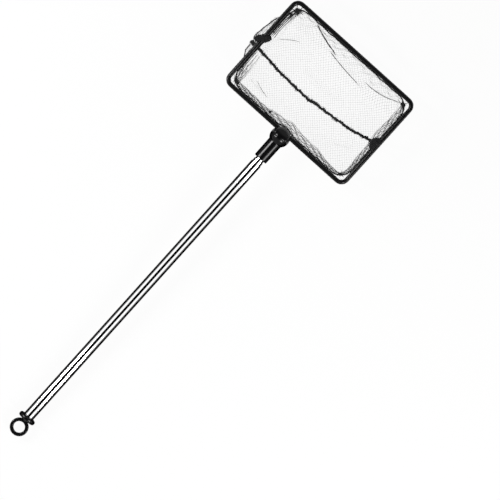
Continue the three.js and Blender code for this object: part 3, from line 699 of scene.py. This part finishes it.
def netting(place, inside, clamp, low, high, radius=None):
    """Points and faces of diamond netting over a stretch of cloth: two sets of strands at 45 degrees to the
    frame's sides, and a knot at each crossing."""
    low, high = np.array(low), np.array(high)
    middle = (low + high) / 2
    count = int(np.hypot(*(high - low)) / MESH_PITCH / 2) + 2
    along = np.arange(-2 * count, 2 * count + 1) * MESH_PITCH / 2
    ways = np.array([(1, 1), (1, -1)]) / math.sqrt(2)
    aside, shortest_step = 0.2 * MM, 0.08 * MM
    parts, knots = [], []
    for turn, (forward, across) in enumerate((ways, ways[::-1])):
        for i in range(-count, count + 1):
            a = middle[0] + i * MESH_PITCH * across[0] + along * forward[0]
            b = middle[1] + i * MESH_PITCH * across[1] + along * forward[1]
            for run in runs(inside(a, b)[1:-1]):
                flat_a, flat_b = clamp(a[run + 1], b[run + 1])
                route = place(flat_a, flat_b)
                gap = np.linalg.norm(np.diff(route, axis=0), axis=1)
                keep = np.concatenate([[True], gap > shortest_step])
                route, flat_a, flat_b = route[keep], flat_a[keep], flat_b[keep]
                if len(route) < 3:
                    continue
                cross = place(flat_a + aside * across[0], flat_b + aside * across[1]) - route
                thickness = radius(flat_a, flat_b) if radius else np.full(len(route), STRAND_RADIUS)
                parts.append(swept(route, thickness, 3, cross + 1e-9))
                if turn == 0:
                    knots.append(np.column_stack([route, thickness])[2:-2:2])
    knots = np.concatenate(knots)
    centres, size = knots[:, :3], knots[:, 3] * 1.6
    tips = np.array([(1, 0, 0), (-1, 0, 0), (0, 1, 0), (0, -1, 0), (0, 0, 1), (0, 0, -1)])
    knot_points = (centres[:, None] + tips * size[:, None, None]).reshape(-1, 3)
    octants = [(0, 2, 4), (2, 1, 4), (1, 3, 4), (3, 0, 4), (2, 0, 5), (1, 2, 5), (3, 1, 5), (0, 3, 5)]
    knot_faces = (np.arange(len(centres))[:, None, None] * 6 + octants).reshape(-1, 3).tolist()
    return joined(*parts, (knot_points, knot_faces))


def stitch_line():
    """The hem's stitch line, round from the ball: the distance along it, and for each point its place, the
    way out from it and how far off the bar's line is that way."""
    inner_x, inner_y = RIM_X - CORNER_CUT, RIM_Y - CORNER_CUT
    from_ball = np.linspace(0, inner_x, 60)[:-1]
    long_side = np.linspace(-inner_x, inner_x, 122)[1:-1]
    short_side = np.linspace(-inner_y, inner_y, 72)[1:-1]
    parts = []

    def side(x, y, out_x, out_y):
        parts.append(np.column_stack(np.broadcast_arrays(x, y, out_x, out_y)))

    def corner(sign_x, sign_y, start):
        angle = np.radians(np.linspace(start, start - 90, 24))
        out_x, out_y = np.cos(angle), np.sin(angle)
        side(sign_x * inner_x + CORNER_CUT * out_x, sign_y * inner_y + CORNER_CUT * out_y, out_x, out_y)

    side(-from_ball, ball_bow(from_ball) - RIM_Y, 0, -1)
    corner(-1, -1, 270)
    side(-RIM_X, short_side, -1, 0)
    corner(-1, 1, 180)
    side(long_side, RIM_Y, 0, 1)
    corner(1, 1, 90)
    side(RIM_X, -short_side, 1, 0)
    corner(1, -1, 0)
    side(from_ball[::-1], ball_bow(from_ball[::-1]) - RIM_Y, 0, -1)
    x, y, out_x, out_y = np.concatenate(parts).T
    gap = STITCH_INSET + CORNER_CUT
    bar_bend = gap - FRAME_CORNER
    c, s = np.abs(out_x), np.abs(out_y)
    on_side = gap / np.maximum(c, s)
    inside = np.maximum((bar_bend * (c + s)) ** 2 - 2 * bar_bend**2 + FRAME_CORNER**2, 0)
    on_bend = bar_bend * (c + s) + np.sqrt(inside)
    to_bar = np.where(np.minimum(c, s) * on_side > bar_bend, on_bend, on_side) - CORNER_CUT
    to_bar = to_bar + np.where((np.abs(x) < inner_x) & (y < 0), ball_bow(x), 0)
    return path_length(np.column_stack([x, y])), np.column_stack([x, y, out_x, out_y, to_bar])


STITCH_LENGTHS, STITCH = stitch_line()
HEM_LENGTH = STITCH_LENGTHS[-1]
CASING_WIDTH = 17 * MM
BALL_GAP = 9.3 * MM


def on_stitch(s):
    """Place, way out and distance to the bar at a distance along the stitch line."""
    return [np.interp(s, STITCH_LENGTHS, column) for column in STITCH.T]


def casing(s, w):
    """World places of the hem's casing: from the stitch line over the bar, round it and back under it."""
    x, y, out_x, out_y, to_bar = on_stitch(s)
    radius = COATING_RADIUS + 0.2 * MM
    open_angle = np.arccos(radius / to_bar)
    straight = np.sqrt(to_bar**2 - radius**2)
    total = 2 * (straight + radius * (np.pi - open_angle))
    at = np.clip(w / CASING_WIDTH, 0, 1) * total
    angle = np.pi - open_angle - (at - straight) / radius
    touch_out, touch_up = to_bar - radius * np.cos(open_angle), radius * np.sin(open_angle)
    before, after = at < straight, at > total - straight
    share = np.where(before, at, total - at) / straight
    slack = 0.25 * MM * np.sin(np.pi * np.clip(share, 0, 1)) * (1 + ripple(s, w, 9 * MM))
    out = np.where(before | after, share * touch_out, to_bar + radius * np.cos(angle))
    drawn = share * touch_up + slack
    up = np.where(before, drawn, np.where(after, -drawn, radius * np.sin(angle)))
    return net_point(x + out_x * out, y + out_y * out, up)


def in_casing(s, w):
    """Flat places of the casing, brought in to its width."""
    return s, np.clip(w, 0, CASING_WIDTH)


def seam_ends():
    """Where the seam's ends come to the hem, as distances along the stitch line."""
    x, y = STITCH[:, 0], STITCH[:, 1]
    left, right = x < -RIM_X + MM, x > RIM_X - MM
    at_left = np.interp(LEFT_SEAM_END, y[left], STITCH_LENGTHS[left])
    at_right = np.interp(-RIGHT_SEAM_END, -y[right], STITCH_LENGTHS[right])
    return at_left, at_right


SEAM_LEFT, SEAM_RIGHT = seam_ends()


def bag_panel(name, node, side, creases):
    """One mesh panel with its share of the hem's casing and its creases. The side is 1 away from the handle
    and -1 towards it."""

    def inside(a, b):
        share_x, share_y, *_ = cloth_shares(a, b)
        return (share_x < 1) & (share_y < 1) & (side * (b - seam_flat(a)) > 0)

    def clamp(a, b):
        return a, side * np.maximum(side * b, side * seam_flat(a))

    def inside_casing(s, w):
        far = (s > SEAM_LEFT) & (s < SEAM_RIGHT)
        if side < 0:
            far = ~far & (s > BALL_GAP) & (s < HEM_LENGTH - BALL_GAP)
        return far & (w > 0) & (w < CASING_WIDTH)

    reach = np.array([RIM_X + LEFT_WALL_CLOTH, RIM_Y + WALL_CLOTH])
    panel = netting(bag, inside, clamp, -reach, reach, strand_radius)
    hem = netting(casing, inside_casing, in_casing, (0, 0), (HEM_LENGTH, CASING_WIDTH))
    points, faces = joined(panel, hem, *creases)
    piece(name, points, faces, NYLON, "head", "mesh_netting", [node])


def resampled(route, spacing):
    """Points at even distances along a route, and those distances as lengths and as shares of the whole."""
    length = path_length(route)
    samples = np.arange(0, length[-1], spacing)
    points = np.stack([np.interp(samples, length, route[:, k]) for k in range(3)], axis=1)
    return points, samples, samples / length[-1]


def twisted(route, ply_radius, plies, turn_length, reference):
    """Threads twisted round a route."""
    route, samples, _ = resampled(route, turn_length / 9)
    _, side, lift = directions(route, reference)
    parts = []
    for k in range(plies):
        angle = (2 * np.pi * (samples / turn_length + k / plies))[:, None]
        offset = side * np.cos(angle) + lift * np.sin(angle)
        parts.append(swept(route + offset * ply_radius, ply_radius, 6, reference))
    return joined(*parts)


def wound(route, radius_across, radius_up, thread, turn_length, reference, phase=0.0, steps=10, loose=1.0):
    """A thread wound round a route, uneven in its size, with steps to a turn. The radii, square to the
    reference and along it, may vary along the route. A phase over half a turn winds the other way."""
    spine, samples, at = resampled(route, turn_length / steps)
    tangent, side, lift = directions(spine, reference)
    direction = 1 if phase < np.pi else -1
    turns = samples / turn_length
    angle = direction * (2 * np.pi * turns + phase)
    uneven = 1 + loose * (0.16 * np.sin(turns * 2.3 + phase) + 0.12 * np.sin(turns * 5.1))

    def out(radius):
        return np.interp(at, np.linspace(0, 1, np.size(radius)), np.atleast_1d(radius)) * uneven

    offset = side * (out(radius_across) * np.cos(angle))[:, None]
    offset = offset + lift * (out(radius_up) * np.sin(angle))[:, None]
    slide = tangent * (0.25 * turn_length * np.sin(turns * 3.7 + phase))[:, None]
    return swept(spine + offset + slide, thread, 6, tangent + 0.3 * side)


def tufts(route, along_y):
    """Loose ends and loops that stand out of the seam on both sides."""
    parts = []
    for k in range(3, len(route) - 3, 2):
        side = 1 if math.sin(7.3 * k) > 0 else -1
        reach = (1.9 + 0.9 * math.sin(2.9 * k)) * MM
        forward = (route[k + 2] - route[k - 2]) * 0.7 * math.sin(1.7 * k)
        root = route[k] + 0.3 * MM * ABOVE
        middle = root + side * 0.6 * reach * along_y + 0.5 * forward + 0.5 * MM * ABOVE
        tip = root + side * reach * along_y + forward
        parts.append(swept(np.array([root, middle, tip]), 0.17 * MM, 4, ABOVE))
    return joined(*parts)


def thread_piece(name, node, parts):
    """A piece of sewing thread on the head."""
    piece(name, *joined(*parts), THREAD, "head", "black_thread", [node])


def bag_seam():
    """The overlocked seam: the panels' bunched edges with loops of thread round them."""
    a = np.linspace(*cloth_limits(), 420)
    b = seam_flat(a)
    along_y = ALONG + 0.05 * ABOVE
    wobble = 0.45 * MM * ripple(a, b, 7 * MM)
    route = bag(a, b) + 1.05 * MM * ABOVE + wobble[:, None] * ALONG
    thick = 1 + 0.35 * bell(a + 2 * MM, 6 * MM) + 0.2 * ripple(a, b, 9 * MM, 2)
    parts = [
        twisted(route, 0.62 * MM, 3, 3.4 * MM, along_y),
        wound(route, 0.75 * MM, 1.2 * MM * thick, 0.32 * MM, MM, along_y, loose=1.4),
        wound(route, 0.8 * MM, 1.4 * MM * thick, 0.26 * MM, 1.9 * MM, along_y, phase=3.6, loose=1.4),
        tufts(route, along_y),
    ]
    thread_piece("seam_overlock", "bag_seam", parts)


def cloth_limits():
    """The seam's flat ends, at the hem on each short side."""
    a = np.linspace(-160 * MM, 160 * MM, 6401)
    share_x, *_ = cloth_shares(a, np.full_like(a, SEAM_ROUTE[0][1]))
    kept = a[share_x < 0.985]
    return kept[0], kept[-1]


def tack(x, y, size, phase):
    """A corner tack: a knot of thread with strands drawn in to it from all round."""
    centre = net_point(x, y, 0.3 * MM)
    parts = []
    turn = np.linspace(0, 2 * np.pi, 14)[:-1, None]
    for k in range(5):
        tip = phase + k * 1.26
        first = math.cos(tip) * ACROSS + math.sin(tip) * ALONG
        second = 0.6 * (math.cos(tip) * ALONG - math.sin(tip) * ACROSS) + 0.7 * ABOVE
        reach = size * (0.95 + 0.1 * (k % 3))
        loop = centre + reach * (np.cos(turn) * first + 0.75 * np.sin(turn) * second)
        parts.append(swept(loop, 0.32 * size, 6, np.cross(first, second), closed=True))
    for k in range(8):
        angle = phase + k * math.pi / 4 + 0.25 * math.sin(3.1 * k)
        length = size * (2.6 + 1.1 * math.sin(2.3 * k + phase))
        share = np.linspace(0, 1, 7)[:, None]
        bend = angle + 0.5 * share * math.sin(1.7 * k)
        arm = centre + share * length * (np.cos(bend) * ACROSS + np.sin(bend) * ALONG)
        arm = arm - share**2 * 1.1 * size * ABOVE
        parts.append(swept(arm, np.linspace(0.26, 0.12, 7) * size, 5, ABOVE))
    return joined(*parts)


def hem_thread(name, node, stretches, tacks):
    """The twisted thread that closes the hem, with its tacks."""
    parts = []
    for start, end in stretches:
        s = np.arange(start, end, 0.8 * MM)
        x, y, *_ = on_stitch(s)
        sway = 0.3 * MM * ripple(s, 0 * s, 13 * MM)
        route = net_point(x, y, 0.1 * MM + sway * 0.5) + sway[:, None] * ALONG
        parts.append(twisted(route, 0.34 * MM, 2, 2.2 * MM, ABOVE))
        parts.append(wound(route, 0.75 * MM, 0.65 * MM, 0.16 * MM, 3.4 * MM, ABOVE, steps=14))
    for x, y, size, phase in tacks:
        parts.append(tack(x * MM, y * MM, size * MM, phase))
    thread_piece(name, node, parts)


def seam_lump(name, node, start, end, half_across, half_up):
    """The lump of thread wound tight round the bar where the seam ends, along a line seen from above."""
    share = np.linspace(0, 1, 60)
    x, y = (np.linspace(*limits, 60) * MM for limits in zip(start, end))
    spine = net_point(x, y, 0.1 * MM * np.sin(9 * share))
    taper = np.sqrt(np.clip(1 - np.abs(2 * share - 1) ** 2.6, 0.02, 1)) * (1 + 0.05 * np.sin(13 * share))
    across, up = half_across * MM * taper, half_up * MM * taper
    parts = [
        wound(spine, across * 0.5, up * 0.55, 0.75 * MM, 1.3 * MM, ABOVE, steps=22, loose=0.2),
        wound(spine, across * 0.86, up * 0.86, 0.5 * MM, 0.85 * MM, ABOVE, steps=26, loose=0.15),
        wound(spine, across * 0.9, up * 0.9, 0.42 * MM, 1.7 * MM, ABOVE, phase=3.9, steps=30, loose=0.3),
    ]
    thread_piece(name, node, parts)


def evened(values, count):
    """Running means over an odd count of values."""
    return np.convolve(np.pad(values, count // 2, mode="edge"), np.ones(count) / count, mode="valid")


def crease(start, bend, end, thickness):
    """A sharp fold in the cloth, where its strands bunch: strands laid along a line seen from above."""
    line = curve(start, bend, end, 40)
    a, b = np.meshgrid(np.arange(-130, 131, 1.5) * MM, np.arange(-90, 91, 1.5) * MM)
    a, b = a.ravel(), b.ravel()
    share_x, share_y, *_ = cloth_shares(a, b)
    kept = (share_x < 1) & (share_y < 1)
    cloth = (bag(a[kept], b[kept]) - CENTRE) @ AXES.T
    nearest = [np.argmin(np.hypot(*(cloth[:, :2] - place).T)) for place in line]
    height = evened(cloth[nearest, 2], 9)
    return bunched(net_point(line[:, 0], line[:, 1], height + 0.3 * MM), thickness)


def bunched(route, thickness):
    """A few strands side by side along a route, thinner towards its ends."""
    share = np.linspace(0, 1, len(route))
    parts = []
    for k in range(3):
        sway = 0.45 * thickness * MM * np.sin(share * (11 + 4 * k) + 2 * k)
        shifted = route + sway[:, None] * ALONG + 0.2 * thickness * MM * math.cos(2 * k) * ABOVE
        radius = 0.36 * thickness * MM * np.clip(np.sin(np.pi * share) * 3, 0.15, 1)
        parts.append(swept(shifted, radius, 5, ABOVE))
    return joined(*parts)


def gather(line, height, thickness):
    """Cloth bunched along a line seen from above, at a height in mm from the frame's middle."""
    share = np.linspace(0, 1, len(line))
    x, y = (np.interp(np.linspace(0, 1, 50), share, column) * MM for column in zip(*line))
    return bunched(net_point(x, y, height * MM), thickness)


def bulge_fold(low, high, thickness):
    """The fold at the outer edge of the slack left wall, between two places along it."""
    height, slope = -17, 0.04
    y = np.linspace(low, high, 60)
    x = evened(np.interp(y, *zip(*BULGE_EDGE)), 7)
    return bunched(net_point(x * MM, y * MM, (height + slope * y) * MM), thickness)


bag_panel("netting_far_side", "bag_panel_far_side", 1, [
    crease((-48, 49), (-33, 42.4), (-13, 38.6), 0.95),
    crease((-21, 37.5), (0, 33.2), (24, 31.6), 0.5),
    crease((26, 38), (46, 36), (67, 46.6), 0.4),
    crease((-67, 12), (-59, 19.5), (-49, 24.5), 0.3),
    bulge_fold(-3.4, 29, 1.3),
    gather([(-70.5, 43), (-73.6, 34), (-74, 22), (-73.8, 9)], -2, 1.5),
    gather([(-71, 41), (-72.2, 32), (-72.6, 22), (-72.4, 10)], -4, 1.3),
    gather([(-70, 38), (-70.8, 28), (-71.2, 18), (-70.4, 9)], -7, 0.9),
])
bag_panel("netting_handle_side", "bag_panel_handle_side", -1, [
    bulge_fold(-26, -6.5, 1.0),
    crease((-55, -33.5), (-46, -37.5), (-36.5, -39.2), 0.3),
    gather([(-74, -10), (-73.8, -22), (-73.6, -34), (-71, -43)], -2, 1.0),
    gather([(-71.8, -12), (-71.2, -22), (-71, -33), (-69.5, -42)], -6, 0.7),
    gather([(-69.2, -13), (-68.2, -20), (-69, -27)], -10, 0.5),
])
bag_seam()

# Each tack's place across and along the net, its size and its turn
hem_thread("hem_thread_far_side", "hem_stitching_far_side", [(SEAM_LEFT, SEAM_RIGHT)], [
    (-70.8, 45.2, 2.4, 0.2), (-72.5, 38.5, 1.3, 0.9), (69.5, 46.5, 1.9, 1.1),
])
beside_ball = [(0, SEAM_LEFT), (SEAM_RIGHT, HEM_LENGTH)]
hem_thread("hem_thread_handle_side", "hem_stitching_handle_side", beside_ball, [
    (-70, -47, 1.6, 0.7), (69.8, -46.6, 1.2, 2.0), (-24, -47.4, 1.1, 1.5), (-8.3, -50.2, 0.8, 0.4),
    (8.3, -50.2, 0.9, 1.9),
])
seam_lump("seam_lump_left", "seam_wrap_left", (-84.5, -3.6), (-72, 8), 4.6, 3.4)
seam_lump("seam_lump_right", "seam_wrap_right", (74.2, -7.2), (75.6, 5.6), 5.4, 3.3)


# Floor and light
def floor():
    """A pale floor that looks near white and keeps the net's soft shadow."""
    half, paleness, glow_share = 20, 0.93, 0.93
    material = bpy.data.materials.new("floor")
    build = NodeTree(material)
    build.tree.nodes.clear()
    diffuse = build.node("ShaderNodeBsdfDiffuse", {"Color": (paleness, paleness, paleness, 1)})
    glow = build.node("ShaderNodeEmission")
    path = build.node("ShaderNodeLightPath").outputs
    seen = build.math("ADD", path["Is Camera Ray"], path["Is Glossy Ray"])
    seen = build.math("ADD", seen, path["Is Transmission Ray"])
    share = build.math("MULTIPLY", seen, glow_share)
    mix = build.node("ShaderNodeMixShader", {"Fac": share, 1: diffuse.outputs[0], 2: glow.outputs[0]})
    build.node("ShaderNodeOutputMaterial", {"Surface": mix.outputs[0]})
    points = [(-half, -half, 0), (half, -half, 0), (half, half, 0), (-half, half, 0)]
    made = mesh_object("floor", points, [(0, 1, 2, 3)], material)


def softbox(name, middle, towards, size, length, radiance, turn_degrees=0):
    """A rectangular light, size across the handle and length along it, facing a point across the handle."""
    data = bpy.data.lights.new(name, "AREA")
    data.shape = "RECTANGLE"
    data.size = size
    data.size_y = length
    data.energy = radiance * math.pi * size * length
    made = bpy.data.objects.new(name, data)
    made.location = middle
    across = Vector(towards) - Vector(middle)
    made.rotation_mode = "ZYX"
    made.rotation_euler = (0, math.atan2(-across.x, -across.z), math.radians(turn_degrees))
    made.visible_camera = False
    bpy.context.scene.collection.objects.link(made)


def world_light():
    """A dome that is dark overhead, where the camera is, dim on both sides of the handle and brighter beyond
    the net's two ends."""
    world = bpy.data.worlds.new("world")
    bpy.context.scene.world = world
    build = NodeTree(world)
    background = build.tree.nodes["Background"].inputs
    direction = build.node("ShaderNodeTexCoord").outputs["Generated"]
    split = build.node("ShaderNodeSeparateXYZ", {0: direction}).outputs

    def ranged(value, *limits):
        inputs = dict(zip(("Value", "From Min", "From Max", "To Min", "To Max"), (value, *limits)))
        return build.node("ShaderNodeMapRange", inputs, interpolation_type="SMOOTHSTEP").outputs[0]

    beside = ranged(build.math("ABSOLUTE", split["X"]), 0.39, 0.41, 0, 1)
    beyond = ranged(build.math("ABSOLUTE", split["Y"]), 0.3, 0.75, 0, 0.5)
    low_down = ranged(split["Z"], 0.05, 0.2, 0.3, 0.1)
    band = build.math("MULTIPLY", beside, low_down)
    build.tree.links.new(build.math("MAXIMUM", band, beyond), background["Strength"])
    background["Color"].default_value = (1, 1, 1, 1)


def lights():
    """Two long softboxes over the handle with a gap overhead, two strips for the sleeve's highlights and two
    for the flange's, and two low lights."""
    handle_x = CENTRE[0]
    aim = (handle_x, 0, 0.02)
    for side in (-1, 1):
        softbox("softbox", (handle_x + side * 0.655, -0.27, 0.627), aim, 0.755, 0.64, 1.04, side * 1.85)
        softbox("low_light", (handle_x + side * 1.0, 0.215, 0.17), aim, 0.12, 0.18, 8)
    for degrees, place, radiance in ((-43, 0.0625, 19), (53, 0.0625, 11), (-45, -0.33, 30), (47, -0.33, 30)):
        angle = math.radians(degrees)
        softbox("strip", (handle_x + math.sin(angle), place, math.cos(angle)), aim, 0.42, 0.085, radiance)


def trough():
    """Black card under the handle on both sides, which only reflections show."""
    ring = CENTRE + ALONG * (span("end_cap")[0][1] - 4 * MM)
    ball = CENTRE + ALONG * (HANDLE_WIRE - 8 * MM)
    above_axis, inner_edge, outer_edge, above_floor = 6 * MM, 0.5 * MM, 60 * MM, 0.3 * MM
    shader = Shader("black_card", Base_Color=(0, 0, 0, 1), Specular_IOR_Level=0)
    for side in (-1, 1):
        points = []
        for x, y, z in (ring, ball):
            points += [(x + side * inner_edge, y, above_floor), (x + side * outer_edge, y, z + above_axis)]
        card = mesh_object("card", points, [(0, 1, 3, 2)], shader.material)
        for ray in ("camera", "diffuse", "transmission", "shadow", "volume_scatter"):
            setattr(card, f"visible_{ray}", False)


floor()
world_light()
lights()
trough()
